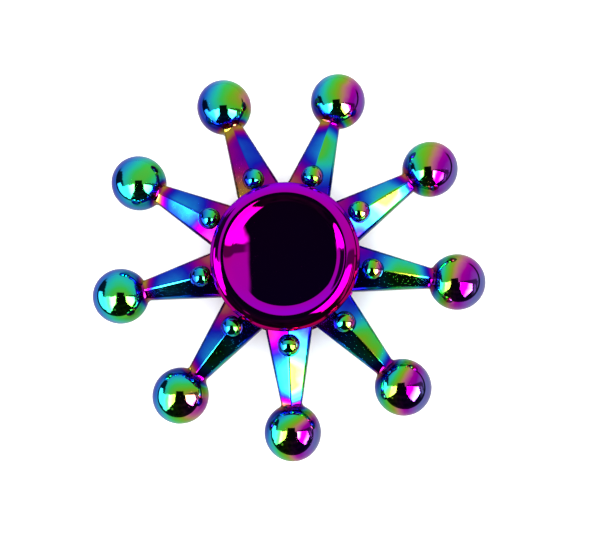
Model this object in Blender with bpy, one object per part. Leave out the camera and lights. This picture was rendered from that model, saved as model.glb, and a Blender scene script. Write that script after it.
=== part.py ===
"""A nine-armed fidget spinner: one plated die casting that turns on a 608 ball bearing, held between
two thumb caps that clamp the bearing's inner ring.

Metres, +Z up along the spin axis, origin at the bearing's centre. One arm points along -Y."""

import math

import bmesh
import bpy
from mathutils import Matrix, Vector

MM = 0.001

# Casting
ARM_COUNT = 9
FIRST_ARM_DEG = -90.0
TIP_BALL_RADIUS = 4.9 * MM
TIP_BALL_PITCH_RADIUS = 30.1 * MM
TIP_BALL_NECK_DEG = 152.0  # where the neck meets the ball, measured from its far pole
HUB_OUTER_RADIUS = 12.4 * MM
HUB_HALF_HEIGHT = 3.5 * MM
HUB_CHAMFER = 0.25 * MM
ARM_ROOT_X = 11.6 * MM
ARM_END_X = 25.1 * MM
ARM_ROOT_HALF_WIDTH = 4.18 * MM
ARM_END_HALF_WIDTH = 1.8 * MM
ARM_ROOT_RIDGE_Z = 3.3 * MM
ARM_END_RIDGE_Z = 2.15 * MM
ARM_ROOT_EDGE_Z = 1.75 * MM
ARM_END_EDGE_Z = 1.485 * MM
SIDE_FACET_SHARE = 0.12
SIDE_FACET_DROP = 0.55 * MM

# Beads set into both faces of every arm
BEAD_RADIUS = 1.85 * MM
BEAD_PITCH_RADIUS = 15.15 * MM
BEAD_CENTRE_Z = 2.55 * MM
BEAD_SEAT_GAP = 0.15 * MM

# 608 ball bearing: 8 mm bore, 22 mm outside, 7 mm wide
BORE_RADIUS = 4.0 * MM
BEARING_OUTER_RADIUS = 11.0 * MM
BEARING_HALF_WIDTH = 3.5 * MM
RING_CHAMFER = 0.3 * MM
BALL_COUNT = 7
BALL_RADIUS = 3.969 / 2 * MM
BALL_PITCH_RADIUS = 7.5 * MM
GROOVE_RADIUS = 2.13 * MM
INNER_SHOULDER_RADIUS = 5.85 * MM
OUTER_SHOULDER_RADIUS = 9.15 * MM
SHIELD_STEP_Z = 2.7 * MM
SHIELD_STEP_RADIUS = 9.75 * MM
SHIELD_INNER_RADIUS = 6.2 * MM
SHIELD_THICKNESS = 0.35 * MM

# Riveted ribbon cage
CAGE_INNER_RADIUS = 6.75 * MM
CAGE_OUTER_RADIUS = 8.25 * MM
CAGE_POCKET_RADIUS = 2.135 * MM
CAGE_THICKNESS = 0.3 * MM
CAGE_FLAT_Z = 0.15 * MM
RIVET_SHANK_RADIUS = 0.35 * MM
RIVET_HOLE_RADIUS = 0.5 * MM
RIVET_HEAD_RADIUS = 0.65 * MM
RIVET_HEAD_HEIGHT = 0.35 * MM

# Thumb caps
CAP_RADIUS = 12.9 * MM
CAP_UNDERSIDE_Z = 4.2 * MM
CAP_CREST_Z = 6.8 * MM
CAP_CREST_RADIUS = 10.65 * MM
CAP_CREST_LAND = 0.3 * MM
DISH_RADIUS = 10.3 * MM
DISH_FLOOR_RADIUS = 5.5 * MM
DISH_FLOOR_Z = 5.0 * MM
DISH_WALL_STEEPNESS = 0.94
DISH_STEPS = 5
LIP_STEPS = 4
LIP_START_DEG = 75.0
RIM_HEIGHT = 1.0 * MM
RIM_CHAMFER = 0.3 * MM
CAP_BOSS_RADIUS = 5.6 * MM
STEM_RADIUS = 3.85 * MM
SCREW_RADIUS = 2.35 * MM
SOCKET_RADIUS = 2.5 * MM
SCREW_END_Z = -2.6 * MM
SCREW_CHAMFER = 0.4 * MM
SOCKET_END_Z = -2.9 * MM

FIT_GAP = 0.15 * MM  # between pieces that touch in the real assembly

RING_SEGMENTS = 36
HUB_SEGMENTS = 5 * ARM_COUNT
CAP_SEGMENTS = 42
SMALL_SEGMENTS = 12
TINY_SEGMENTS = 8
SECTION_POINTS = 16
TIP_BALL_RINGS = 8
BALL_STEPS = 6  # from pole to pole of a bead, its seat or a bearing ball
GROOVE_STEPS = 6
POCKET_STEPS = 7


def clear_scene():
    for found in list(bpy.data.objects):
        bpy.data.objects.remove(found, do_unlink=True)


def turning_together(name, pieces):
    """Parents the pieces to an empty at the origin, on the spin axis."""
    empty = bpy.data.objects.new(name, None)
    bpy.context.collection.objects.link(empty)
    for piece in pieces:
        piece.parent = empty


def metal(name, colour, roughness):
    material = bpy.data.materials.new(name)
    material.use_nodes = True
    shader = material.node_tree.nodes["Principled BSDF"]
    shader.inputs["Base Color"].default_value = (*colour, 1.0)
    shader.inputs["Metallic"].default_value = 1.0
    shader.inputs["Roughness"].default_value = roughness
    return material


def solid(name, points, faces, material, sharp_deg=30.0):
    """A mesh object with outward faces, smooth except where faces meet at more than sharp_deg."""
    mesh = bpy.data.meshes.new(name)
    mesh.from_pydata([tuple(p) for p in points], [], faces)
    shell = bmesh.new()
    shell.from_mesh(mesh)
    bmesh.ops.recalc_face_normals(shell, faces=shell.faces)
    shell.to_mesh(mesh)
    shell.free()
    mesh.materials.append(material)
    mesh.shade_smooth()
    mesh.set_sharp_from_angle(angle=math.radians(sharp_deg))
    piece = bpy.data.objects.new(name, mesh)
    bpy.context.collection.objects.link(piece)
    return piece


def arc(centre, radius, start_deg, end_deg, steps):
    """Points (x, y) along an arc, both ends included."""
    points = []
    for i in range(steps + 1):
        angle = math.radians(start_deg + (end_deg - start_deg) * i / steps)
        points.append((centre[0] + radius * math.cos(angle), centre[1] + radius * math.sin(angle)))
    return points


def turned(name, profile, segments, material, closed=True):
    """Turns a profile of (radius, z) points about Z. An open one starts and ends on the axis."""
    points, rings = [], []
    for radius, z in profile:
        if radius == 0.0:
            rings.append([len(points)])
            points.append((0.0, 0.0, z))
            continue
        rings.append(list(range(len(points), len(points) + segments)))
        for i in range(segments):
            angle = 2 * math.pi * i / segments
            points.append((radius * math.cos(angle), radius * math.sin(angle), z))
    pairs = list(zip(rings, rings[1:]))
    if closed:
        pairs.append((rings[-1], rings[0]))
    faces = []
    for upper, lower in pairs:
        for i in range(segments):
            j = (i + 1) % segments
            if len(upper) == 1:
                faces.append((upper[0], lower[i], lower[j]))
            elif len(lower) == 1:
                faces.append((upper[i], lower[0], upper[j]))
            else:
                faces.append((upper[i], lower[i], lower[j], upper[j]))
    return solid(name, points, faces, material)


def ball(name, radius, place, material):
    """A small ball whose origin is its centre."""
    profile = [(0.0, radius), *arc((0.0, 0.0), radius, 90.0, -90.0, BALL_STEPS)[1:-1], (0.0, -radius)]
    piece = turned(name, profile, SMALL_SEGMENTS, material, closed=False)
    piece.location = place
    return piece


def around(count, pitch_radius, first_deg=0.0):
    """Places on a circle about the spin axis, as (angle, x, y)."""
    for i in range(count):
        angle = math.radians(first_deg + 360.0 * i / count)
        yield angle, pitch_radius * math.cos(angle), pitch_radius * math.sin(angle)


def boolean(target, cutter, operation):
    """Applies an exact Boolean to target and removes the cutter."""
    modifier = target.modifiers.new(operation.lower(), "BOOLEAN")
    modifier.operation = operation
    modifier.solver = "EXACT"
    modifier.object = cutter
    bpy.context.view_layer.update()
    graph = bpy.context.evaluated_depsgraph_get()
    result = bpy.data.meshes.new_from_object(target.evaluated_get(graph))
    target.modifiers.clear()
    target.data = result
    bpy.data.objects.remove(cutter, do_unlink=True)


def joined(name, pieces):
    """One mesh object that holds several separate shells."""
    whole = bmesh.new()
    for piece in pieces:
        shell = piece.data.copy()
        shell.transform(piece.matrix_world)
        whole.from_mesh(shell)
        bpy.data.meshes.remove(shell)
        bpy.data.objects.remove(piece, do_unlink=True)
    mesh = bpy.data.meshes.new(name)
    whole.to_mesh(mesh)
    whole.free()
    helper = bpy.data.objects.new(name, mesh)
    helper.hide_render = True
    helper.display_type = "WIRE"
    bpy.context.collection.objects.link(helper)
    return helper


# Casting


def arm_section(share):
    """The SECTION_POINTS (y, z) points of an arm's ridged section, at a share of its length."""
    width = ARM_ROOT_HALF_WIDTH + (ARM_END_HALF_WIDTH - ARM_ROOT_HALF_WIDTH) * share
    ridge = ARM_ROOT_RIDGE_Z + (ARM_END_RIDGE_Z - ARM_ROOT_RIDGE_Z) * share
    edge = ARM_ROOT_EDGE_Z + (ARM_END_EDGE_Z - ARM_ROOT_EDGE_Z) * share
    shoulder = width * (1 - SIDE_FACET_SHARE)
    low = edge - SIDE_FACET_DROP
    quarter = [(width, 0.0), (width, low), (shoulder, edge), (shoulder / 2, (ridge + edge) / 2)]
    half = [*quarter, (0.0, ridge), *[(-y, z) for y, z in reversed(quarter[1:])]]
    return [*half, (-width, 0.0), *[(-y, -z) for y, z in half[1:]]]


def round_section(radius):
    return arc((0.0, 0.0), radius, 0.0, 360.0, SECTION_POINTS)[:-1]


def arm_with_ball(index, angle, material):
    """One arm along +X from inside the hub ring, running through a short neck into its tip ball."""
    sections = [(ARM_ROOT_X, arm_section(0.0)), (ARM_END_X, arm_section(1.0))]
    for i in range(TIP_BALL_RINGS):
        turn = math.radians(TIP_BALL_NECK_DEG * (1 - i / TIP_BALL_RINGS))
        x = TIP_BALL_PITCH_RADIUS + TIP_BALL_RADIUS * math.cos(turn)
        sections.append((x, round_section(TIP_BALL_RADIUS * math.sin(turn))))
    points = [(x, y, z) for x, section in sections for y, z in section]
    tip = len(points)
    points.append((TIP_BALL_PITCH_RADIUS + TIP_BALL_RADIUS, 0.0, 0.0))
    faces = [tuple(range(SECTION_POINTS))]
    for ring in range(len(sections) - 1):
        for i in range(SECTION_POINTS):
            j = (i + 1) % SECTION_POINTS
            here, there = ring * SECTION_POINTS, (ring + 1) * SECTION_POINTS
            faces.append((here + i, here + j, there + j, there + i))
    last = tip - SECTION_POINTS
    faces += [(last + i, last + (i + 1) % SECTION_POINTS, tip) for i in range(SECTION_POINTS)]
    arm = solid(f"arm_{index}", points, faces, material)
    arm.matrix_world = Matrix.Rotation(angle, 4, "Z")
    return arm


def bead_places():
    """(name, place) of every bead, on the upper and the lower face of each arm."""
    for side, height in (("upper", BEAD_CENTRE_Z), ("lower", -BEAD_CENTRE_Z)):
        for i, (_, x, y) in enumerate(around(ARM_COUNT, BEAD_PITCH_RADIUS, FIRST_ARM_DEG)):
            yield f"{side}_bead_{i + 1}", Vector((x, y, height))


def build_frame(material):
    bore = BEARING_OUTER_RADIUS + FIT_GAP
    outer, top, cut = HUB_OUTER_RADIUS, HUB_HALF_HEIGHT, HUB_CHAMFER
    profile = [(bore, top - cut), (bore + cut, top), (outer - cut, top), (outer, top - cut)]
    profile += [(radius, -z) for radius, z in reversed(profile)]
    frame = turned("frame", profile, HUB_SEGMENTS, material)
    arms = [
        arm_with_ball(i, angle, material)
        for i, (angle, _, _) in enumerate(around(ARM_COUNT, 1.0, FIRST_ARM_DEG))
    ]
    bpy.context.view_layer.update()
    boolean(frame, joined("arms", arms), "UNION")
    seat_radius = BEAD_RADIUS + BEAD_SEAT_GAP
    seats = [ball(f"seat_{name}", seat_radius, place, material) for name, place in bead_places()]
    bpy.context.view_layer.update()
    boolean(frame, joined("seats", seats), "DIFFERENCE")
    return frame


def build_beads(material):
    return [ball(name, BEAD_RADIUS, place, material) for name, place in bead_places()]


# Bearing


def groove(shoulder_radius, middle_deg):
    """The race groove's arc, top to bottom, between its two shoulders.

    middle_deg is where the arc's middle lies from the balls' pitch circle: 0 outside it, 180 inside."""
    reach = math.degrees(math.acos(abs(shoulder_radius - BALL_PITCH_RADIUS) / GROOVE_RADIUS))
    if middle_deg == 0.0:
        reach = -reach
    start, end = middle_deg - reach, middle_deg + reach
    return arc((BALL_PITCH_RADIUS, 0.0), GROOVE_RADIUS, start, end, GROOVE_STEPS)


def build_inner_ring(steel):
    top, cut = BEARING_HALF_WIDTH, RING_CHAMFER
    bore, shoulder = BORE_RADIUS, INNER_SHOULDER_RADIUS
    profile = [(bore, -top + cut), (bore, top - cut), (bore + cut, top), (shoulder, top)]
    profile += groove(shoulder, 180.0)
    profile += [(shoulder, -top), (bore + cut, -top)]
    return turned("bearing_inner_ring", profile, RING_SEGMENTS, steel)


def build_outer_ring(steel):
    top, cut = BEARING_HALF_WIDTH, RING_CHAMFER
    outside, shoulder = BEARING_OUTER_RADIUS, OUTER_SHOULDER_RADIUS
    half = [(outside, top - cut), (outside - cut, top), (SHIELD_STEP_RADIUS, top)]
    half += [(SHIELD_STEP_RADIUS, SHIELD_STEP_Z), (shoulder, SHIELD_STEP_Z)]
    profile = [*half, *groove(shoulder, 0.0), *[(radius, -z) for radius, z in reversed(half)]]
    return turned("bearing_outer_ring", profile, RING_SEGMENTS, steel)


def build_shields(pressed_steel):
    low = SHIELD_STEP_Z + FIT_GAP
    high = low + SHIELD_THICKNESS
    inside, outside = SHIELD_INNER_RADIUS, SHIELD_STEP_RADIUS - FIT_GAP
    section = [(inside, low), (inside, high), (outside, high), (outside, low)]
    shields = []
    for name, side in (("upper_shield", 1), ("lower_shield", -1)):
        profile = [(radius, side * z) for radius, z in section]
        shields.append(turned(name, profile, RING_SEGMENTS, pressed_steel))
    return shields


def build_balls(steel):
    """Each ball turns about its own axis, through its centre."""
    return [
        ball(f"bearing_ball_{i + 1}", BALL_RADIUS, (x, y, 0.0), steel)
        for i, (_, x, y) in enumerate(around(BALL_COUNT, BALL_PITCH_RADIUS))
    ]


# Cage


def pocket_path(radius, flat_z):
    """(arc length, z) points over one ball, from flat to flat, with the ball's centre at length 0."""
    rise = math.degrees(math.asin(flat_z / radius))
    return arc((0.0, 0.0), radius, 180.0 - rise, rise, POCKET_STEPS)


def cage_half(name, side, material):
    """A pressed ribbon that bulges over every ball. side is 1 for the upper half, -1 for the lower."""
    near = pocket_path(CAGE_POCKET_RADIUS, CAGE_FLAT_Z)
    far = pocket_path(CAGE_POCKET_RADIUS + CAGE_THICKNESS, CAGE_FLAT_Z + CAGE_THICKNESS)
    points = []
    for angle, _, _ in around(BALL_COUNT, BALL_PITCH_RADIUS):
        for (near_run, near_z), (far_run, far_z) in zip(near, far):
            corners = (
                (near_run, near_z, CAGE_INNER_RADIUS),
                (near_run, near_z, CAGE_OUTER_RADIUS),
                (far_run, far_z, CAGE_OUTER_RADIUS),
                (far_run, far_z, CAGE_INNER_RADIUS),
            )
            for run, z, radius in corners:
                turn = angle + run / BALL_PITCH_RADIUS
                points.append((radius * math.cos(turn), radius * math.sin(turn), side * z))
    count = len(points) // 4
    faces = []
    for here in range(count):
        there = (here + 1) % count
        for i in range(4):
            j = (i + 1) % 4
            faces.append((here * 4 + i, here * 4 + j, there * 4 + j, there * 4 + i))
    half = solid(name, points, faces, material)
    reach = CAGE_FLAT_Z + 2 * CAGE_THICKNESS
    drill = [(0.0, reach), (RIVET_HOLE_RADIUS, reach), (RIVET_HOLE_RADIUS, -reach), (0.0, -reach)]
    drills = turned_at_rivets(f"{name}_drill", drill, material)
    bpy.context.view_layer.update()
    boolean(half, joined(f"{name}_drills", drills), "DIFFERENCE")
    return half


def turned_at_rivets(name, profile, material):
    """The same small turned piece midway between every two balls."""
    pieces = []
    for i, (_, x, y) in enumerate(around(BALL_COUNT, BALL_PITCH_RADIUS, 180.0 / BALL_COUNT)):
        piece = turned(f"{name}_{i + 1}", profile, TINY_SEGMENTS, material, closed=False)
        piece.location = (x, y, 0.0)
        pieces.append(piece)
    return pieces


def build_cage(material):
    halves = [cage_half("cage_upper_half", 1, material), cage_half("cage_lower_half", -1, material)]
    shank, head = RIVET_SHANK_RADIUS, RIVET_HEAD_RADIUS
    seat = CAGE_FLAT_Z + CAGE_THICKNESS + FIT_GAP
    crown = seat + RIVET_HEAD_HEIGHT
    upper = [(0.0, crown), (head, seat + RIVET_HEAD_HEIGHT / 2), (head, seat), (shank, seat)]
    profile = [*upper, *[(radius, -z) for radius, z in reversed(upper)]]
    return [*halves, *turned_at_rivets("cage_rivet", profile, material)]


# Caps


def cap_face():
    """The cap's shape from the axis out over the dish and the crest to the rim's lower edge."""
    wall_x, wall_z = DISH_RADIUS - DISH_FLOOR_RADIUS, CAP_CREST_Z - DISH_FLOOR_Z
    dish = []
    for i in range(DISH_STEPS + 1):
        share = i / DISH_STEPS
        rise = 1 - math.sqrt(1 - (DISH_WALL_STEEPNESS * share) ** 2)
        dish.append((DISH_FLOOR_RADIUS + wall_x * share, DISH_FLOOR_Z + wall_z * rise))
    land = CAP_CREST_LAND / 2
    crest = [(CAP_CREST_RADIUS - land, CAP_CREST_Z), (CAP_CREST_RADIUS + land, CAP_CREST_Z)]
    shoulder_z = CAP_UNDERSIDE_Z + RIM_HEIGHT
    bevel = arc((0.0, 0.0), 1.0, LIP_START_DEG, 0.0, LIP_STEPS)
    run = CAP_RADIUS - CAP_CREST_RADIUS - land
    fall = CAP_CREST_Z - shoulder_z
    lip = [(CAP_RADIUS - run * (1 - c), shoulder_z + fall * s) for c, s in bevel]
    rim = [(CAP_RADIUS, CAP_UNDERSIDE_Z + RIM_CHAMFER), (CAP_RADIUS - RIM_CHAMFER, CAP_UNDERSIDE_Z)]
    return [(0.0, DISH_FLOOR_Z), *dish, *crest, *lip, *rim]


def cap_boss():
    """The underside, from the rim in to the stem's root, clear of the turning hub."""
    face = BEARING_HALF_WIDTH + FIT_GAP
    return [(CAP_BOSS_RADIUS, CAP_UNDERSIDE_Z), (CAP_BOSS_RADIUS, face), (STEM_RADIUS, face)]


def build_caps(material):
    """The upper cap's stem ends in a screw that goes into the lower cap's socket, inside the bore."""
    upper = [*cap_face(), *cap_boss(), (STEM_RADIUS, FIT_GAP), (SCREW_RADIUS, FIT_GAP)]
    upper += [(SCREW_RADIUS, SCREW_END_Z + SCREW_CHAMFER), (SCREW_RADIUS - SCREW_CHAMFER, SCREW_END_Z)]
    upper.append((0.0, SCREW_END_Z))

    lower = [(radius, -z) for radius, z in [*cap_face(), *cap_boss(), (STEM_RADIUS, FIT_GAP)]]
    lower += [(SOCKET_RADIUS, -FIT_GAP), (SOCKET_RADIUS, SOCKET_END_Z), (0.0, SOCKET_END_Z)]
    return [
        turned("upper_cap", upper, CAP_SEGMENTS, material, closed=False),
        turned("lower_cap", lower, CAP_SEGMENTS, material, closed=False),
    ]


def main():
    clear_scene()
    plating = metal("rainbow_plating", (0.10, 0.42, 0.55), 0.16)
    bead_plating = metal("bead_plating", (0.12, 0.50, 0.48), 0.08)
    cap_plating = metal("magenta_plating", (0.62, 0.02, 0.72), 0.07)
    steel = metal("bearing_steel", (0.62, 0.62, 0.63), 0.12)
    pressed_steel = metal("pressed_steel", (0.55, 0.55, 0.56), 0.30)

    turning_together("held_hub", [*build_caps(cap_plating), build_inner_ring(steel)])
    casting = [build_frame(plating), *build_beads(bead_plating)]
    turning_together("spinner", [*casting, build_outer_ring(steel), *build_shields(pressed_steel)])
    turning_together("cage", [*build_cage(pressed_steel), *build_balls(steel)])


main()
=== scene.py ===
"""Looks of the nine-armed fidget spinner: fine meshes, rainbow plating, studio light and camera.

Lengths in the constants are millimetres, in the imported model's frame: +Z up along the spin axis,
origin at the bearing's centre, one arm along -Y."""

import math
from typing import NamedTuple

import bmesh
import bpy
import numpy as np
from mathutils import Matrix, Vector


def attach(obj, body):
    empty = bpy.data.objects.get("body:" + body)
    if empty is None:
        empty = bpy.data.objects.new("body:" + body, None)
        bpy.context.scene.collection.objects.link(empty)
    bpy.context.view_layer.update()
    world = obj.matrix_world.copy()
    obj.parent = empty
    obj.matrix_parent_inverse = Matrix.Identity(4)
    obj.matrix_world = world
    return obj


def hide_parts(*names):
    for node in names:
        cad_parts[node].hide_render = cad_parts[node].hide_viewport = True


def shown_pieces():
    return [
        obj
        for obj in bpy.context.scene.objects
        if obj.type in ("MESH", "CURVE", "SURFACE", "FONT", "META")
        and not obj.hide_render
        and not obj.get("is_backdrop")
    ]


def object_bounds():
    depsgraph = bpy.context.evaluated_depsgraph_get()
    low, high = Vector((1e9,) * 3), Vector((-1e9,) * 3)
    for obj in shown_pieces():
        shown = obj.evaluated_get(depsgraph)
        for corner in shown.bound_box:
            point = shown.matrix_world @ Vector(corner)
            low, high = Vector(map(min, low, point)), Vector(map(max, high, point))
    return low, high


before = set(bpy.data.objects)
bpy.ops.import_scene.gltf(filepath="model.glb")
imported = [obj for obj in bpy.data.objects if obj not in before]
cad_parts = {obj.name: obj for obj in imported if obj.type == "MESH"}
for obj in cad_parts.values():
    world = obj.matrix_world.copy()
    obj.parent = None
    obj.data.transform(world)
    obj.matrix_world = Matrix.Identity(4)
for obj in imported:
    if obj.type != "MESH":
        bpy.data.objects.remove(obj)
CAD_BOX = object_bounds()
MM = 0.001

# Edges that turn by more than this are shaded sharp
SHARP_DEG, CASTING_SHARP_DEG, CAP_SHARP_DEG = 32.0, 40.0, 62.0

# Casting
ARM_COUNT = 9
FIRST_ARM_DEG = -90.0
TIP_RADIUS = 4.9
TIP_PITCH_RADIUS = 30.1
NECK_DEG = 152.0  # where the neck meets the tip ball, measured from its far pole
ARM_ROOT_X = 11.6
ARM_END_X = 25.1
ROOT_HALF_WIDTH, END_HALF_WIDTH = 4.18, 1.8
ROOT_RIDGE_Z, END_RIDGE_Z = 3.3, 2.15
ROOT_EDGE_Z, END_EDGE_Z = 1.75, 1.485
SIDE_FACET_SHARE = 0.12
SIDE_FACET_DROP = 0.55
EDGE_ROUNDING = 0.11
RIDGE_ROUNDING = 0.26
HUB_BORE, HUB_OUTER_RADIUS, HUB_HALF_HEIGHT, HUB_CHAMFER = 11.15, 12.4, 3.5, 0.25
ARM_RINGS = 76
ARM_CORNER_POINTS = 4
ARM_SIDE_STEPS = (2, 18, 18, 2, 2, 2, 5, 5, 2, 2)  # once round the section, from the +Y edge over the ridge
NECK_SHARES = (0.2, 0.4, 0.6, 0.8)
NECK_SHARPNESS = 2.2  # how late along the neck its ridged section turns round
TIP_RINGS = 30
HUB_SEGMENTS = 180
HUB_EDGE_CUT = 0.08
THIN_PATCH_PLACE, THIN_PATCH_SPREAD = (-7.5, 19.0), 60.0  # the spread in square millimetres
PIT_COUNT, PIT_SEED = 8, 40
PIT_RADII, PIT_DEPTH, PIT_LOWEST_Z = (0.12, 0.24), 0.012, 0.9

# Beads and their seats
BEAD_RADIUS = 1.85
BEAD_PITCH_RADIUS = 15.15
BEAD_CENTRE_Z = 2.55
SEAT_RADIUS = 1.97
BEAD_SEGMENTS, SEAT_SEGMENTS = 64, 48

# Thumb caps
CAP_RADIUS = 12.9
CAP_UNDERSIDE_Z = 4.2
CAP_CREST_Z = 6.8
CAP_CREST_RADIUS = 10.65
CAP_SHOULDER_RADIUS = 12.3
CAP_SHOULDER_TILT_DEG = 46.0
CAP_RIM_HEIGHT, CAP_RIM_CUT = 0.65, 0.2
CAP_UNDERCUT_RADIUS = 11.8  # where the rim's rounded lower edge ends on the underside
DISH_TILT_PER_MM = 1.27
DISH_WALL_TILT_DEG, DISH_WALL_START, DISH_WALL_END = 19.0, 8.55, 9.9
DISH_CREST_START, DISH_CREST_END = 10.12, 10.42  # where the wall levels out
CAP_SEGMENTS, DISH_RINGS, LIP_RINGS = 216, 104, 24
STEM_RADIUS, SCREW_RADIUS, SOCKET_RADIUS = 3.85, 2.35, 2.5
BOSS_RADIUS, BOSS_FACE_Z = 5.6, 3.65
SCREW_END_Z, SOCKET_END_Z = -2.6, -2.9
SCREW_CHAMFER = 0.4
FIT_GAP = 0.15

# 608 bearing
BORE_RADIUS, BEARING_RADIUS, BEARING_HALF_WIDTH = 4.0, 11.0, 3.5
BALL_COUNT = 7
BALL_RADIUS = 3.969 / 2
BALL_PITCH_RADIUS = 7.5
GROOVE_RADIUS = 2.13
INNER_SHOULDER, OUTER_SHOULDER = 5.85, 9.15
SHIELD_STEP_Z, SHIELD_STEP_RADIUS = 2.7, 9.75
SHIELD_INNER_RADIUS, SHIELD_THICKNESS = 6.2, 0.35
SHIELD_RIB_RADII, SHIELD_RIB_HEIGHT = (8.9, 9.1), 0.1
SHIELD_INNER_CUT, SHIELD_RIB_CUT, SHIELD_OUTER_CUT = 0.08, 0.1, 0.06
RING_CHAMFER = 0.3
CAGE_INNER, CAGE_OUTER = 6.75, 8.25
CAGE_POCKET, CAGE_THICKNESS, CAGE_FLAT_Z = 2.135, 0.3, 0.15
RIVET_SHANK, RIVET_HOLE, RIVET_HEAD, RIVET_HEIGHT = 0.35, 0.5, 0.65, 0.35
RING_SEGMENTS, BALL_SEGMENTS, RIVET_SEGMENTS = 144, 48, 32

# Camera, from the photograph's viewpoint
CAMERA_PLACE = (8.5, -19.9, 148.4)
CAMERA_AIM = (2.3, -2.37, 0.0)
CAMERA_ROLL_DEG = -2.2
CAMERA_LENS = 50.9

# Studio
ROOM_RADIUS, ROOM_SEGMENTS = 110.0, 96
CAP_ROOM_CENTRE = (0.0, -3.0, 5.0)
FLOOR_HALF_WIDTH = 2.4  # metres
FLOOR_GAP = 0.02
FLOOR_SHADE, FLOOR_SHADE_IN_MIRRORS = 0.92, 0.25
DAYLIGHT = 2.9
WINDOW_RADIANCE, LAMP_RADIANCE = 3.5, 18.0
DARK_RADIANCE, GEAR_RADIANCE, PILLAR_RADIANCE, SPOT_RADIANCE = 0.03, 0.012, 0.14, 0.5


# Meshes


def mesh_object(name, points, faces):
    """A new object in the scene, from points in millimetres, with its closed shells' faces turned out."""
    mesh = bpy.data.meshes.new(name)
    mesh.from_pydata((np.asarray(points, float) * MM).tolist(), [], faces)
    shell = bmesh.new()
    shell.from_mesh(mesh)
    bmesh.ops.recalc_face_normals(shell, faces=shell.faces)
    shell.to_mesh(mesh)
    shell.free()
    made = bpy.data.objects.new(name, mesh)
    bpy.context.scene.collection.objects.link(made)
    return made


def joined(name, shells):
    """One object that holds several closed shells, each of them (points, faces)."""
    points, faces = [], []
    for shell_points, shell_faces in shells:
        base = len(points)
        points += [tuple(p) for p in shell_points]
        faces += [tuple(base + i for i in face) for face in shell_faces]
    return mesh_object(name, points, faces)


def boolean(target, other, operation):
    """Joins other to target, or cuts target by it, and then removes other."""
    modifier = target.modifiers.new(operation.lower(), "BOOLEAN")
    modifier.operation = operation
    modifier.solver = "MANIFOLD"
    modifier.object = other
    graph = bpy.context.evaluated_depsgraph_get()
    mesh = bpy.data.meshes.new_from_object(target.evaluated_get(graph))
    target.modifiers.clear()
    target.data = mesh
    bpy.data.objects.remove(other, do_unlink=True)


def piece_from(name, points, faces, body, nodes, material, sharp_deg=SHARP_DEG):
    """A finished piece, from points in millimetres, that rides on body and replaces nodes."""
    piece = mesh_object(name, points, faces)
    finish_piece(piece, body, nodes, material, sharp_deg)
    return piece


def finish_piece(piece, body, nodes, material, sharp_deg):
    """Gives a piece its material and shading, hangs it on the body it rides on, and hides the nodes it
    replaces.
    """
    mesh = piece.data
    mesh.materials.clear()
    mesh.materials.append(material)
    mesh.shade_smooth()
    mesh.set_sharp_from_angle(angle=math.radians(sharp_deg))
    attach(piece, body)
    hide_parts(*nodes)


def grid_faces(rows, columns, closed=False):
    """Quads between successive rings of columns points each, and from the last to the first if closed."""
    faces = []
    for row in range(rows if closed else rows - 1):
        here, there = row * columns, (row + 1) % rows * columns
        for i in range(columns):
            j = (i + 1) % columns
            faces.append((here + i, here + j, there + j, there + i))
    return faces


def turned(profile, segments, closed=True):
    """(points, faces) of a profile of (radius, z) turned about Z. An open one starts and ends on the axis."""
    turn = np.arange(segments) * 2 * math.pi / segments
    middle = np.array(profile if closed else profile[1:-1], float)
    rings = np.stack(
        [
            np.outer(middle[:, 0], np.cos(turn)),
            np.outer(middle[:, 0], np.sin(turn)),
            np.repeat(middle[:, 1:2], segments, axis=1),
        ],
        axis=-1,
    )
    points = rings.reshape(-1, 3).tolist()
    faces = grid_faces(len(middle), segments, closed)
    if not closed:
        last, first_pole, last_pole = len(points) - segments, len(points), len(points) + 1
        points += [(0.0, 0.0, profile[0][1]), (0.0, 0.0, profile[-1][1])]
        faces += [(first_pole, (i + 1) % segments, i) for i in range(segments)]
        faces += [(last_pole, last + i, last + (i + 1) % segments) for i in range(segments)]
    return points, faces


def shifted(points, x, y, z=0.0):
    return (np.asarray(points, float) + (x, y, z)).tolist()


def turned_about_z(points, angle):
    x, y, z = np.asarray(points, float).T
    cos, sin = math.cos(angle), math.sin(angle)
    return np.column_stack([x * cos - y * sin, x * sin + y * cos, z])


def arc(centre, radius, start_deg, end_deg, steps):
    """Points on an arc, both ends included."""
    turn = np.radians(np.linspace(start_deg, end_deg, steps + 1))
    return [(centre[0] + radius * math.cos(a), centre[1] + radius * math.sin(a)) for a in turn]


def curve(start, corner, end, share):
    """The point at a share of the curve from start to end that leans on the corner."""
    return start * (1 - share) ** 2 + corner * 2 * share * (1 - share) + end * share**2


def rounded(corners, steps=4, closed=False):
    """Rounds a polyline's corners. Each is (x, y, cut), and cut is the length taken off each side."""
    count = len(corners)
    points = []
    for i, (x, y, cut) in enumerate(corners):
        at_end = not closed and i in (0, count - 1)
        if cut == 0.0 or at_end:
            points.append((x, y))
            continue
        here = Vector((x, y))
        before = (Vector(corners[i - 1][:2]) - here).normalized() * cut + here
        after = (Vector(corners[(i + 1) % count][:2]) - here).normalized() * cut + here
        for s in np.linspace(0.0, 1.0, steps + 1):
            points.append(tuple(curve(before, here, after, s)))
    return points


def ball(radius, segments):
    between = arc((0, 0), radius, 90, -90, segments // 2)[1:-1]
    return turned([(0.0, radius), *between, (0.0, -radius)], segments, False)


def around(count, pitch_radius, first_deg=0.0):
    """(angle, x, y) of count places spread evenly on a pitch circle."""
    for i in range(count):
        angle = math.radians(first_deg + 360.0 * i / count)
        yield angle, pitch_radius * math.cos(angle), pitch_radius * math.sin(angle)


def smoothstep(low, high, value):
    share = np.clip((value - low) / (high - low), 0.0, 1.0)
    return share * share * (3 - 2 * share)


# Node helpers


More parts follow.
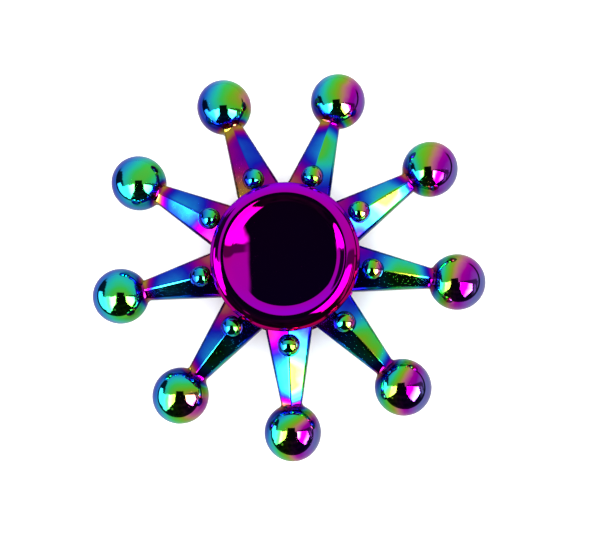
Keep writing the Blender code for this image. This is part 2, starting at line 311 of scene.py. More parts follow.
class Nodes:
    """Short calls for building a node tree."""

    def __init__(self, tree):
        self.tree = tree

    def add(self, kind, **settings):
        node = self.tree.nodes.new(kind)
        for name, value in settings.items():
            setattr(node, name, value)
        return node

    def link(self, source, target):
        self.tree.links.new(source, target)

    def put(self, socket, value):
        if isinstance(value, bpy.types.NodeSocket):
            self.link(value, socket)
        else:
            socket.default_value = value

    def math(self, operation, first, second=0.0, third=0.0, clamp=False):
        node = self.add("ShaderNodeMath", operation=operation, use_clamp=clamp)
        for socket, value in zip(node.inputs, (first, second, third)):
            self.put(socket, value)
        return node.outputs[0]

    def ramp01(self, value, low, high, out_low=0.0, out_high=1.0):
        node = self.add("ShaderNodeMapRange", interpolation_type="SMOOTHSTEP")
        for name, given in (
            ("Value", value),
            ("From Min", low),
            ("From Max", high),
            ("To Min", out_low),
            ("To Max", out_high),
        ):
            self.put(node.inputs[name], given)
        return node.outputs[0]

    def band(self, value, low, high, soft):
        """1 between low and high, falling to 0 over soft outside them."""
        rise = self.ramp01(value, low - soft, low + soft)
        fall = self.ramp01(value, high - soft, high + soft, 1.0, 0.0)
        return self.math("MULTIPLY", rise, fall)

    def noise(self, vector, scale, detail=2.0, roughness=0.5):
        node = self.add("ShaderNodeTexNoise")
        self.link(vector, node.inputs["Vector"])
        node.inputs["Scale"].default_value = scale
        node.inputs["Detail"].default_value = detail
        node.inputs["Roughness"].default_value = roughness
        return node.outputs["Fac"]

    def colours(self, value, stops):
        node = self.add("ShaderNodeValToRGB")
        ramp = node.color_ramp
        while len(ramp.elements) < len(stops):
            ramp.elements.new(0.5)
        for element, (place, colour) in zip(ramp.elements, stops):
            element.position = place
            element.color = (*colour, 1.0)
        self.link(value, node.inputs["Fac"])
        return node.outputs["Color"]


def metal(name):
    """A metallic Principled material: (material, nodes, shader, object coordinates in millimetres)."""
    material = bpy.data.materials.new(name)
    material.use_nodes = True
    nodes = Nodes(material.node_tree)
    shader = material.node_tree.nodes["Principled BSDF"]
    shader.inputs["Metallic"].default_value = 1.0
    place = nodes.add("ShaderNodeTexCoord").outputs["Object"]
    scale = nodes.add("ShaderNodeVectorMath", operation="SCALE")
    nodes.link(place, scale.inputs[0])
    scale.inputs["Scale"].default_value = 1 / MM
    return material, nodes, shader, scale.outputs["Vector"]


def bump(nodes, shader, height, distance, strength=1.0):
    node = nodes.add("ShaderNodeBump")
    node.inputs["Strength"].default_value = strength
    node.inputs["Distance"].default_value = distance * MM
    nodes.link(height, node.inputs["Height"])
    nodes.link(node.outputs["Normal"], shader.inputs["Normal"])


# Materials

# Interference colours of the plating, from a thin film to a thick one
FILM_STOPS = (
    (0.00, (0.42, 0.28, 0.03)),
    (0.08, (0.42, 0.14, 0.05)),
    (0.16, (0.35, 0.01, 0.14)),
    (0.23, (0.27, 0.00, 0.32)),
    (0.30, (0.09, 0.00, 0.44)),
    (0.36, (0.01, 0.01, 0.54)),
    (0.42, (0.01, 0.07, 0.62)),
    (0.48, (0.01, 0.20, 0.74)),
    (0.54, (0.02, 0.42, 0.72)),
    (0.60, (0.02, 0.68, 0.48)),
    (0.66, (0.05, 0.70, 0.10)),
    (0.72, (0.16, 0.60, 0.02)),
    (0.765, (0.34, 0.42, 0.03)),
    (0.80, (0.58, 0.28, 0.16)),
    (0.83, (0.60, 0.13, 0.32)),
    (0.87, (0.48, 0.00, 0.42)),
    (0.91, (0.34, 0.00, 0.45)),
    (0.95, (0.28, 0.06, 0.56)),
    (1.00, (0.16, 0.17, 0.54)),
)


def attribute(nodes, name):
    return nodes.add("ShaderNodeAttribute", attribute_name=name).outputs["Fac"]


def plated(name, roughness, grain):
    """Rainbow plating. The mesh's film attribute is the film's thickness, its grit how rough the cast is."""
    material, nodes, shader, place = metal(name)
    grit = attribute(nodes, "grit")
    drift = nodes.math("MULTIPLY_ADD", nodes.noise(place, 0.35, 3.0), 0.08, -0.04)
    thickness = nodes.math("ADD", attribute(nodes, "film"), drift, clamp=True)
    nodes.link(nodes.colours(thickness, FILM_STOPS), shader.inputs["Base Color"])
    haze = nodes.ramp01(nodes.noise(place, 1.6, 4.0), 0.3, 0.75, roughness, roughness * 1.9)
    nodes.link(nodes.math("MULTIPLY_ADD", grit, 0.10, haze), shader.inputs["Roughness"])
    specks = nodes.ramp01(nodes.noise(place, 2.6, 3.0, 0.6), 0.60, 0.74)
    ripple = nodes.math("MULTIPLY", nodes.noise(place, 0.7, 1.0), 2.0)
    height = nodes.math("MULTIPLY_ADD", nodes.math("MULTIPLY", specks, grit), -8.0, ripple)
    bump(nodes, shader, height, grain)
    return material


# The caps' plating, from its thin film towards -Y to its thick one towards +Y
CAP_STOPS = (
    (0.00, (0.55, 0.00, 0.05)),
    (0.30, (0.66, 0.00, 0.28)),
    (0.50, (0.58, 0.00, 0.48)),
    (0.70, (0.46, 0.00, 0.62)),
    (1.00, (0.36, 0.00, 0.92)),
)


def cap_plating():
    material, nodes, shader, place = metal("magenta_plating")
    drift = nodes.math("MULTIPLY_ADD", nodes.noise(place, 0.25, 3.0), 0.12, -0.06)
    thickness = nodes.math("ADD", attribute(nodes, "film"), drift, clamp=True)
    nodes.link(nodes.colours(thickness, CAP_STOPS), shader.inputs["Base Color"])
    haze = nodes.noise(place, 1.1, 4.0)
    nodes.link(nodes.ramp01(haze, 0.3, 0.8, 0.012, 0.032), shader.inputs["Roughness"])
    shader.inputs["Specular Tint"].default_value = (0.80, 0.15, 1.0, 1.0)
    bump(nodes, shader, nodes.noise(place, 0.22, 1.0), 0.012)
    return material


def turned_steel():
    """Ground bearing steel, with fine rings from the grinding wheel."""
    material, nodes, shader, place = metal("bearing_steel")
    parts = nodes.add("ShaderNodeSeparateXYZ")
    nodes.link(place, parts.inputs[0])
    across = nodes.math("POWER", parts.outputs["X"], 2.0)
    radius = nodes.math("SQRT", nodes.math("MULTIPLY_ADD", parts.outputs["Y"], parts.outputs["Y"], across))
    rings = nodes.add("ShaderNodeCombineXYZ")
    nodes.link(radius, rings.inputs["X"])
    nodes.link(parts.outputs["Z"], rings.inputs["Y"])
    fine = nodes.noise(rings.outputs[0], 9.0, 3.0)
    stops = ((0.3, (0.50, 0.51, 0.53)), (0.7, (0.66, 0.66, 0.67)))
    nodes.link(nodes.colours(fine, stops), shader.inputs["Base Color"])
    nodes.link(nodes.ramp01(fine, 0.3, 0.7, 0.14, 0.26), shader.inputs["Roughness"])
    bump(nodes, shader, fine, 0.004)
    return material


def pressed_steel():
    """Pressed sheet, a little hazy, with a mottled finish."""
    material, nodes, shader, place = metal("pressed_steel")
    mottle = nodes.noise(place, 2.5, 4.0)
    stops = ((0.3, (0.44, 0.44, 0.45)), (0.7, (0.60, 0.60, 0.61)))
    nodes.link(nodes.colours(mottle, stops), shader.inputs["Base Color"])
    nodes.link(nodes.ramp01(mottle, 0.3, 0.7, 0.26, 0.40), shader.inputs["Roughness"])
    bump(nodes, shader, mottle, 0.006)
    return material


# Casting


def arm_corners(share):
    """Corners (y, z) of an arm's section, once round, at a share of the arm's length."""
    width = ROOT_HALF_WIDTH + (END_HALF_WIDTH - ROOT_HALF_WIDTH) * share
    ridge = ROOT_RIDGE_Z + (END_RIDGE_Z - ROOT_RIDGE_Z) * share
    edge = ROOT_EDGE_Z + (END_EDGE_Z - ROOT_EDGE_Z) * share
    shoulder = width * (1 - SIDE_FACET_SHARE)
    low = edge - SIDE_FACET_DROP
    upper = [(width, low), (shoulder, edge), (0.0, ridge), (-shoulder, edge), (-width, low)]
    return upper + [(-y, -z) for y, z in upper]


def arm_section(share):
    """The section at a share of the arm's length, as points (y, z) with its corners rounded."""
    corners = [Vector(c) for c in arm_corners(share)]
    count = len(corners)
    points = []
    cuts = [RIDGE_ROUNDING if c.x == 0.0 else EDGE_ROUNDING for c in corners]
    for i, here in enumerate(corners):
        before, after = corners[i - 1], corners[(i + 1) % count]
        start = here + (before - here).normalized() * cuts[i]
        end = here + (after - here).normalized() * cuts[i]
        for s in np.linspace(0.0, 1.0, ARM_CORNER_POINTS):
            points.append(curve(start, here, end, s))
        stop = after + (here - after).normalized() * cuts[(i + 1) % count]
        steps = ARM_SIDE_STEPS[i]
        for s in np.arange(1, steps) / steps:
            points.append(end.lerp(stop, s))
    return np.array([tuple(p) for p in points])


def round_section(radius, section):
    """Points on a circle to join to the section's, between their polar angles and an even spacing."""
    turn = np.arctan2(section[:, 1], section[:, 0])
    even = turn[0] + np.arange(len(section)) * 2 * math.pi / len(section)
    turn = np.unwrap(turn)
    turn = 0.5 * turn + 0.5 * even
    return np.stack([radius * np.cos(turn), radius * np.sin(turn)], axis=-1)


def pits(rng):
    """Casting pits on an arm's upper facets: (x, y, radius, depth)."""
    share = rng.random(PIT_COUNT)
    x = ARM_ROOT_X + 1.5 + share * (ARM_END_X - ARM_ROOT_X - 2.0)
    reach = ROOT_HALF_WIDTH + (END_HALF_WIDTH - ROOT_HALF_WIDTH) * share
    y = (rng.random(PIT_COUNT) * 2 - 1) * reach * 0.8
    smallest, largest = PIT_RADII
    radius = smallest + rng.random(PIT_COUNT) * (largest - smallest)
    return np.stack([x, y, radius, PIT_DEPTH * (0.5 + rng.random(PIT_COUNT))], axis=-1)


def dented(points, holes):
    """Pushes the upper skin down inside each pit."""
    upper = points[:, 2] > PIT_LOWEST_Z
    for x, y, radius, depth in holes:
        distance = np.hypot(points[:, 0] - x, points[:, 1] - y)
        points[:, 2] -= np.where(upper, depth * (1 - smoothstep(0.0, radius, distance)), 0.0)


def arm_shell(index):
    """(points, faces) of one arm along +X, in one closed shell: ridged section, neck and tip ball."""
    rng = np.random.default_rng(PIT_SEED + index)
    rows = []
    for x in np.linspace(ARM_ROOT_X, ARM_END_X, ARM_RINGS):
        section = arm_section((x - ARM_ROOT_X) / (ARM_END_X - ARM_ROOT_X))
        rows.append(np.column_stack([np.full(len(section), x), section]))
    end = rows[-1][:, 1:]
    neck = math.radians(NECK_DEG)
    neck_x = TIP_PITCH_RADIUS + TIP_RADIUS * math.cos(neck)
    circle = round_section(TIP_RADIUS * math.sin(neck), end)
    for share in NECK_SHARES:
        x = ARM_END_X + (neck_x - ARM_END_X) * share
        blend = share**NECK_SHARPNESS
        rows.append(np.column_stack([np.full(len(end), x), end * (1 - blend) + circle * blend]))
    unit = circle / (TIP_RADIUS * math.sin(neck))
    for turn in np.linspace(neck, 0.0, TIP_RINGS, endpoint=False):
        x = TIP_PITCH_RADIUS + TIP_RADIUS * math.cos(turn)
        rows.append(np.column_stack([np.full(len(end), x), unit * TIP_RADIUS * math.sin(turn)]))
    columns = len(end)
    points = np.concatenate(rows)
    dented(points, pits(rng))
    faces = [tuple(range(columns))[::-1], *grid_faces(len(rows), columns)]
    pole = len(points)
    points = np.vstack([points, (TIP_PITCH_RADIUS + TIP_RADIUS, 0.0, 0.0)])
    last = pole - columns
    faces += [(last + i, last + (i + 1) % columns, pole) for i in range(columns)]
    return points, faces


def build_casting(material):
    cut, outer, top = HUB_CHAMFER, HUB_OUTER_RADIUS, HUB_HALF_HEIGHT
    half = [(HUB_BORE, top - cut), (HUB_BORE + cut, top), (outer - cut, top), (outer, top - cut)]
    corners = [(r, z, HUB_EDGE_CUT) for r, z in half] + [(r, -z, HUB_EDGE_CUT) for r, z in reversed(half)]
    hub = joined("casting", [turned(rounded(corners, 3, True), HUB_SEGMENTS)])
    arms = []
    for i, (angle, _, _) in enumerate(around(ARM_COUNT, 1.0, FIRST_ARM_DEG)):
        points, faces = arm_shell(i)
        arms.append((turned_about_z(points, angle), faces))
    boolean(hub, joined("arms", arms), "UNION")
    seats = []
    for _, x, y in around(ARM_COUNT, BEAD_PITCH_RADIUS, FIRST_ARM_DEG):
        for side in (1, -1):
            points, faces = ball(SEAT_RADIUS, SEAT_SEGMENTS)
            seats.append((shifted(points, x, y, side * BEAD_CENTRE_Z), faces))
    boolean(hub, joined("seats", seats), "DIFFERENCE")
    paint(hub.data, "film", casting_film)
    paint(hub.data, "grit", casting_grit)
    finish_piece(hub, "spinner", ["frame"], material, CASTING_SHARP_DEG)


def casting_film(place, normal):
    """Film thickness, 0 to 1, on the casting. It grows towards +X and thins near the hub and the necks."""
    x, y = place[:, 0], place[:, 1]
    radius = np.hypot(x, y)
    east = x / TIP_PITCH_RADIUS
    north = y / TIP_PITCH_RADIUS
    outward = (normal[:, 0] * x + normal[:, 1] * y) / np.maximum(radius, 1e-6)
    facing_up = np.abs(normal[:, 2])
    reach = 1 - 0.35 * east**2

    # A tip ball: thick towards +X, and thin where it turns to the hub and the neck
    steep = 1 - facing_up
    to_hub = np.clip(-outward, 0.0, 1.0)
    tip = 0.76 + 0.10 * east - 0.04 * north + 0.25 * reach * normal[:, 0] - 0.08 * normal[:, 1]
    tip += (0.09 * east - 0.14 + 0.07 * normal[:, 0]) * steep
    tip -= 0.32 * to_hub**2 + 0.36 * smoothstep(0.70, 0.90, to_hub)

    # An arm: each facet has its own thickness, which falls towards the hub and over the neck
    share, off_ridge = along_and_across(x, y)
    level = np.maximum(np.hypot(normal[:, 0], normal[:, 1]), 0.15)
    arm = 0.57 + 0.105 * east - 0.06 * north + (0.09 * normal[:, 0] - 0.04 * normal[:, 1]) / level
    arm += 0.05 - 0.10 * off_ridge - 0.30 * smoothstep(0.62, 0.12, share)
    arm -= 0.52 * np.clip((share - 0.76) / 0.27, 0.0, 1.0) ** 2

    on_tip = smoothstep(ARM_END_X + 0.6, ARM_END_X + 1.0, radius)
    return np.clip(arm * (1 - on_tip) + tip * on_tip - 0.18 * thin_patch(x, y), 0.0, 1.0)


def thin_patch(x, y):
    """1 in the middle of the patch on one arm where the film is thin, falling to 0 around it."""
    centre_x, centre_y = THIN_PATCH_PLACE
    return np.exp(-((x - centre_x) ** 2 + (y - centre_y) ** 2) / THIN_PATCH_SPREAD)


def along_and_across(x, y):
    """Each point's share of its arm's length, and how far it lies from the ridge, from 0 to 1."""
    radius = np.hypot(x, y)
    sector = 2 * math.pi / ARM_COUNT
    across = np.mod(np.arctan2(y, x) - math.radians(FIRST_ARM_DEG) + sector / 2, sector) - sector / 2
    share = np.clip((radius - ARM_ROOT_X) / (ARM_END_X - ARM_ROOT_X), 0.0, 1.0)
    half_width = ROOT_HALF_WIDTH + (END_HALF_WIDTH - ROOT_HALF_WIDTH) * share
    return share, np.clip(np.abs(radius * np.sin(across)) / half_width, 0.0, 1.0)


def casting_grit(place, normal):
    """How rough the cast surface is, 0 to 1: most on the arms towards -X +Y, and none on the tip balls."""
    x, y = place[:, 0], place[:, 1]
    share, _ = along_and_across(x, y)
    rough_side = smoothstep(0.72, 1.0, (0.64 * y - 0.77 * x) / np.maximum(np.hypot(x, y), 1e-6))
    return (0.02 + 0.9 * rough_side * smoothstep(0.95, 0.20, share)) * smoothstep(1.0, 0.9, share)


def bead_film(place, normal):
    """Film thickness on the beads, which grows towards +X and with the surface's turn that way."""
    x, y = place[:, 0], place[:, 1]
    film = 0.65 + 0.08 * x / BEAD_PITCH_RADIUS + 0.24 * normal[:, 0] - 0.12 * thin_patch(x, y)
    return np.clip(film - 0.10 * (1 - np.abs(normal[:, 2])), 0.0, 1.0)


def cap_film(place, normal):
    """Film thickness, 0 to 1, on the caps. It grows where they face +Y and thins where they face +X."""
    x, y = normal[:, 0], normal[:, 1]
    return np.clip(0.56 + 0.55 * y - 0.30 * np.maximum(x, 0.0), 0.0, 1.0)


def clean(place, normal):
    """No grit anywhere."""
    return np.zeros(len(place))


def paint(mesh, name, rule):
    """Stores what rule gives from every point's place, in millimetres, and normal."""
    count = len(mesh.vertices)
    place, normal = np.empty(count * 3), np.empty(count * 3)
    mesh.vertices.foreach_get("co", place)
    mesh.vertex_normals.foreach_get("vector", normal)
    values = rule(place.reshape(-1, 3) / MM, normal.reshape(-1, 3))
    mesh.attributes.new(name, "FLOAT", "POINT").data.foreach_set("value", values.astype(np.float32))


def build_beads(material):
    for side, sign in (("upper", 1), ("lower", -1)):
        for i, (_, x, y) in enumerate(around(ARM_COUNT, BEAD_PITCH_RADIUS, FIRST_ARM_DEG)):
            points, faces = ball(BEAD_RADIUS, BEAD_SEGMENTS)
            name = f"{side}_bead_{i + 1}"
            points = shifted(points, x, y, sign * BEAD_CENTRE_Z)
            bead = piece_from(f"polished_{name}", points, faces, "spinner", [name], material)
            paint(bead.data, "film", bead_film)
            paint(bead.data, "grit", clean)


# Caps


def tilted_profile(radii, tilt_deg):
    """(radius, z) points at radii, with the slope that tilt_deg gives there and the highest at the crest."""
    middle = (radii[1:] + radii[:-1]) / 2
    rise = np.concatenate([[0.0], np.cumsum(np.tan(np.radians(tilt_deg(middle))) * np.diff(radii))])
    return [(r, CAP_CREST_Z - rise.max() + z) for r, z in zip(radii, rise)]


def dish_tilt(radius):
    """A shallow bowl, which steepens into a wall and levels out at the crest."""
    wall = DISH_WALL_TILT_DEG * smoothstep(DISH_WALL_START, DISH_WALL_END, radius)
    return (DISH_TILT_PER_MM * radius + wall) * smoothstep(DISH_CREST_END, DISH_CREST_START, radius)


def lip_tilt(radius):
    share = (radius - CAP_CREST_RADIUS) / (CAP_SHOULDER_RADIUS - CAP_CREST_RADIUS)
    return -CAP_SHOULDER_TILT_DEG * share**0.9


def cap_outside():
    """The cap's upper side from the axis over the dish, crest and lip to the rim's lower edge."""
    dish = tilted_profile(np.linspace(0.0, CAP_CREST_RADIUS, DISH_RINGS + 1)[:-1], dish_tilt)
    lip = tilted_profile(np.linspace(CAP_CREST_RADIUS, CAP_SHOULDER_RADIUS, LIP_RINGS), lip_tilt)
    shoulder = Vector(lip[-1])
    corner_z = shoulder.y - (CAP_RADIUS - shoulder.x) * math.tan(math.radians(CAP_SHOULDER_TILT_DEG))
    corner, end = Vector((CAP_RADIUS, corner_z)), Vector((CAP_RADIUS, corner_z - CAP_RIM_HEIGHT))
    turn = [curve(shoulder, corner, end, share) for share in np.linspace(0, 1, 11)[1:]]
    low = [
        (CAP_RADIUS, end.y, 0.0),
        (CAP_RADIUS, CAP_UNDERSIDE_Z, CAP_RIM_CUT),
        (CAP_UNDERCUT_RADIUS, CAP_UNDERSIDE_Z, 0.0),
    ]
    return [*dish, *lip, *[tuple(p) for p in turn], *rounded(low, 6)[1:]]


def build_cap(name, profile, material):
    points, faces = turned(profile, CAP_SEGMENTS, False)
    body, slot = "held_hub", "magenta_plating"
    cap = piece_from(f"polished_{name}", points, faces, body, [name], material, CAP_SHARP_DEG)
    paint(cap.data, "film", cap_film)
    return cap


def build_caps(material):
    boss = [(BOSS_RADIUS, CAP_UNDERSIDE_Z), (BOSS_RADIUS, BOSS_FACE_Z), (STEM_RADIUS, BOSS_FACE_Z)]
    upper = [*cap_outside(), *boss, (STEM_RADIUS, FIT_GAP), (SCREW_RADIUS, FIT_GAP)]
    upper += [
        (SCREW_RADIUS, SCREW_END_Z + SCREW_CHAMFER),
        (SCREW_RADIUS - SCREW_CHAMFER, SCREW_END_Z),
        (0.0, SCREW_END_Z),
    ]
    lower = [(r, -z) for r, z in [*cap_outside(), *boss, (STEM_RADIUS, FIT_GAP)]]
    lower += [(SOCKET_RADIUS, -FIT_GAP), (SOCKET_RADIUS, SOCKET_END_Z), (0.0, SOCKET_END_Z)]
    return [build_cap("upper_cap", upper, material), build_cap("lower_cap", lower, material)]


# Bearing


def race(shoulder, middle_deg):
    """The groove that the balls run in, from one shoulder of a ring to its other shoulder."""
    reach = math.degrees(math.acos(abs(shoulder - BALL_PITCH_RADIUS) / GROOVE_RADIUS))
    if middle_deg == 0.0:
        reach = -reach
    return arc((BALL_PITCH_RADIUS, 0.0), GROOVE_RADIUS, middle_deg - reach, middle_deg + reach, 24)


def build_rings(steel):
    top, cut = BEARING_HALF_WIDTH, RING_CHAMFER
    inner = arc((BORE_RADIUS + cut, top - cut), cut, 180, 90, 5) + [(INNER_SHOULDER, top)]
    inner = [(BORE_RADIUS, -top + cut), *inner, *race(INNER_SHOULDER, 180.0), (INNER_SHOULDER, -top)]
    inner += arc((BORE_RADIUS + cut, -top + cut), cut, 270, 180, 5)[:-1]
    points, faces = turned(inner, RING_SEGMENTS)
    piece_from("ground_inner_ring", points, faces, "held_hub", ["bearing_inner_ring"], steel)

    half = arc((BEARING_RADIUS - cut, top - cut), cut, 0, 90, 5)
    half += [(SHIELD_STEP_RADIUS, top), (SHIELD_STEP_RADIUS, SHIELD_STEP_Z), (OUTER_SHOULDER, SHIELD_STEP_Z)]
    outer = [*half, *race(OUTER_SHOULDER, 0.0), *[(r, -z) for r, z in reversed(half)]]
    points, faces = turned(outer, RING_SEGMENTS)
    piece_from("ground_outer_ring", points, faces, "spinner", ["bearing_outer_ring"], steel)


def build_shields(pressed):
    low, high = SHIELD_STEP_Z + FIT_GAP, SHIELD_STEP_Z + FIT_GAP + SHIELD_THICKNESS
    inside, outside = SHIELD_INNER_RADIUS, SHIELD_STEP_RADIUS - FIT_GAP
    rib_start, rib_end = SHIELD_RIB_RADII
    rim = high - SHIELD_RIB_HEIGHT
    section = [
        (inside, low, SHIELD_INNER_CUT),
        (inside, high, SHIELD_INNER_CUT),
        (rib_start, high, SHIELD_RIB_CUT),
        (rib_end, rim, SHIELD_RIB_CUT),
        (outside, rim, SHIELD_OUTER_CUT),
        (outside, low, SHIELD_OUTER_CUT),
    ]
    profile = rounded(section, 3, True)
    for name, side in (("upper_shield", 1), ("lower_shield", -1)):
        points, faces = turned([(r, side * z) for r, z in profile], RING_SEGMENTS)
        piece_from(f"pressed_{name}", points, faces, "spinner", [name], pressed)


def build_bearing_balls(steel):
    for i, (_, x, y) in enumerate(around(BALL_COUNT, BALL_PITCH_RADIUS)):
        points, faces = ball(BALL_RADIUS, BALL_SEGMENTS)
        name = f"bearing_ball_{i + 1}"
        points = shifted(points, x, y)
        piece_from(f"lapped_{name}", points, faces, f"ball_{i + 1}", [name], steel)


def pocket_path(radius, flat_z):
    """The arch of a cage half over one ball, as (run along the pitch circle, z)."""
    rise = math.degrees(math.asin(flat_z / radius))
    return arc((0.0, 0.0), radius, 180.0 - rise, rise, 20)


def cage_ribbon(side):
    """(points, faces) of one cage half: a flat-sided ribbon, arched over each ball on the given side."""
    near = pocket_path(CAGE_POCKET, CAGE_FLAT_Z)
    far = pocket_path(CAGE_POCKET + CAGE_THICKNESS, CAGE_FLAT_Z + CAGE_THICKNESS)
    points = []
    for angle, _, _ in around(BALL_COUNT, BALL_PITCH_RADIUS):
        for (near_run, near_z), (far_run, far_z) in zip(near, far):
            for run, z, radius in (
                (near_run, near_z, CAGE_INNER),
                (near_run, near_z, CAGE_OUTER),
                (far_run, far_z, CAGE_OUTER),
                (far_run, far_z, CAGE_INNER),
            ):
                turn = angle + run / BALL_PITCH_RADIUS
                points.append((radius * math.cos(turn), radius * math.sin(turn), side * z))
    return points, grid_faces(len(points) // 4, 4, True)


def rivet_places():
    """(angle, x, y) of each rivet, midway between two balls."""
    return around(BALL_COUNT, BALL_PITCH_RADIUS, 180.0 / BALL_COUNT)


def build_cage_halves(pressed):
    reach = CAGE_FLAT_Z + 2 * CAGE_THICKNESS
    drill = [(0.0, reach), (RIVET_HOLE, reach), (RIVET_HOLE, -reach), (0.0, -reach)]
    for name, side in (("cage_upper_half", 1), ("cage_lower_half", -1)):
        half = joined(f"pressed_{name}", [cage_ribbon(side)])
        holes = []
        for _, x, y in rivet_places():
            points, faces = turned(drill, RIVET_SEGMENTS, False)
            holes.append((shifted(points, x, y), faces))
        boolean(half, joined("holes", holes), "DIFFERENCE")
        finish_piece(half, "cage", [name], pressed, SHARP_DEG)


def build_cage_rivets(pressed):
    seat = CAGE_FLAT_Z + CAGE_THICKNESS + FIT_GAP
    crown = arc((0.0, seat), RIVET_HEAD, 90, 0, 8)
    upper = [(r, seat + (z - seat) * RIVET_HEIGHT / RIVET_HEAD) for r, z in crown]
    upper[0] = (0.0, upper[0][1])
    upper.append((RIVET_SHANK, seat))
    profile = [*upper, *[(r, -z) for r, z in reversed(upper)]]
    for i, (_, x, y) in enumerate(rivet_places()):
        points, faces = turned(profile, RIVET_SEGMENTS, False)
        name = f"cage_rivet_{i + 1}"
        piece_from(f"headed_{name}", shifted(points, x, y), faces, "cage", [name], pressed)


# Studio


def is_ray(nodes, kind):
    return nodes.add("ShaderNodeLightPath").outputs[kind]


def build_floor():
    """White paper to the camera. Mirrors see it darker, and don't see it at all past the room's wall."""
    mesh = bpy.data.meshes.new("floor")
    size, height = FLOOR_HALF_WIDTH, CAD_BOX[0].z - FLOOR_GAP * MM
    corners = [(-size, -size, height), (size, -size, height), (size, size, height), (-size, size, height)]
    mesh.from_pydata(corners, [], [(0, 1, 2, 3)])
    floor = bpy.data.objects.new("floor", mesh)
    bpy.context.scene.collection.objects.link(floor)
    material = bpy.data.materials.new("white_floor")
    material.use_nodes = True
    nodes = Nodes(material.node_tree)
    shader = material.node_tree.nodes["Principled BSDF"]
    distance = nodes.add("ShaderNodeVectorMath", operation="LENGTH")
    nodes.link(nodes.add("ShaderNodeTexCoord").outputs["Object"], distance.inputs[0])
    wall = ROOM_RADIUS * MM
    near = nodes.ramp01(distance.outputs["Value"], 0.93 * wall, 0.98 * wall, FLOOR_SHADE_IN_MIRRORS, 0.0)
    camera_ray = is_ray(nodes, "Is Camera Ray")
    shade = nodes.math("MAXIMUM", near, nodes.math("MULTIPLY", camera_ray, FLOOR_SHADE))
    greys = ((0.0, (0.0, 0.0, 0.0)), (1.0, (1.0, 1.0, 1.0)))
    nodes.link(nodes.colours(shade, greys), shader.inputs["Base Color"])
    shader.inputs["Roughness"].default_value = 1.0
    shader.inputs["Specular IOR Level"].default_value = 0.0
    mesh.materials.append(material)
    floor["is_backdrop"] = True


def build_world():
    """Even daylight for the floor and the background. Mirrors see the room instead."""
    world = bpy.data.worlds.new("daylight")
    bpy.context.scene.world = world
    world.use_nodes = True
    world.node_tree.nodes.clear()
    nodes = Nodes(world.node_tree)
    strength = nodes.math("MULTIPLY_ADD", is_ray(nodes, "Is Glossy Ray"), -DAYLIGHT, DAYLIGHT)
    background = nodes.add("ShaderNodeBackground")
    nodes.put(background.inputs["Color"], (1.0, 1.0, 1.0, 1.0))
    nodes.link(strength, background.inputs["Strength"])
    output = nodes.add("ShaderNodeOutputWorld")
    nodes.link(background.outputs[0], output.inputs["Surface"])


class Layout(NamedTuple):
    """What one room doesn't share with the other, in the (u, v) that Room explains."""

    right: Vector
    back: Vector
    lamp_light: float  # the radiance of the right window, and of the left one's inner part
    window_start: float  # where the right window starts in u
    corner_cut: float  # the left window shines where v - u is more than this
    patch_end: float  # where the dark patch behind the left window ends in u
    gear_end: float  # where the dark gear round the camera ends in v


class Room:
    """Builds up the brightness of a room, part by part, by where a mirror ball under the camera shows it.

    u runs to the ball's right and v towards its back, both from -1 to 1 at its edge. The rough u and v
    waver a little, for outlines that aren't straight."""

    def __init__(self, nodes, layout):
        self.nodes = nodes
        place = nodes.add("ShaderNodeTexCoord").outputs["Object"]
        self.direction = self.unit(place)
        halfway = nodes.add("ShaderNodeVectorMath", operation="ADD")
        nodes.link(self.direction, halfway.inputs[0])
        halfway.inputs[1].default_value = Vector(CAMERA_PLACE).normalized()
        self.mirror_normal = self.unit(halfway.outputs[0])
        self.u = self.along(self.mirror_normal, layout.right)
        self.v = self.along(self.mirror_normal, layout.back)
        self.rough_u = self.wavering(self.u, 3.0, 0.09)
        self.rough_v = self.wavering(self.v, 7.0, 0.11)
        self.height = self.along(self.direction, (0.0, 0.0, 1.0))
        self.level = nodes.math("MULTIPLY_ADD", nodes.noise(self.direction, 5.0, 2.0), 0.07, -0.015)

    def unit(self, vector):
        node = self.nodes.add("ShaderNodeVectorMath", operation="NORMALIZE")
        self.nodes.link(vector, node.inputs[0])
        return node.outputs[0]

    def along(self, vector, axis):
        node = self.nodes.add("ShaderNodeVectorMath", operation="DOT_PRODUCT")
        self.nodes.link(vector, node.inputs[0])
        node.inputs[1].default_value = axis
        return node.outputs["Value"]

    def wavering(self, value, offset, amount):
        moved = self.nodes.add("ShaderNodeVectorMath", operation="ADD")
        self.nodes.link(self.mirror_normal, moved.inputs[0])
        moved.inputs[1].default_value = (offset, 0.0, 0.0)
        shift = self.nodes.math("SUBTRACT", self.nodes.noise(moved.outputs[0], 9.0, 3.0, 0.6), 0.5)
        return self.nodes.math("MULTIPLY_ADD", shift, amount, value)

    def box(self, u_low, u_high, v_low, v_high, soft=0.012, rough=False):
        """1 inside the box, 0 outside."""
        across = self.nodes.band(self.rough_u if rough else self.u, u_low, u_high, soft)
        deep = self.nodes.band(self.rough_v if rough else self.v, v_low, v_high, soft)
        return self.nodes.math("MULTIPLY", across, deep)

    def window(self, u_low, u_high, v_high, depth, slant):
        """1 inside an opening whose lower edge, depth below v = 0, rises to both sides of its middle."""
        away = self.nodes.math("SUBTRACT", self.rough_u, (u_low + u_high) / 2)
        away = self.nodes.math("ABSOLUTE", away)
        lower = self.nodes.math("MULTIPLY_ADD", away, slant, -depth)
        above = self.nodes.ramp01(self.nodes.math("SUBTRACT", self.rough_v, lower), -0.012, 0.012)
        opening = self.box(u_low, u_high, -1.0, v_high, 0.01, True)
        return self.nodes.math("MULTIPLY", opening, above)

    def lay(self, share, value):
        """Lays value over what is there, where share is 1."""
        kept = self.nodes.math("MULTIPLY", self.level, self.nodes.math("SUBTRACT", 1.0, share))
        self.level = self.nodes.math("MULTIPLY_ADD", share, value, kept)


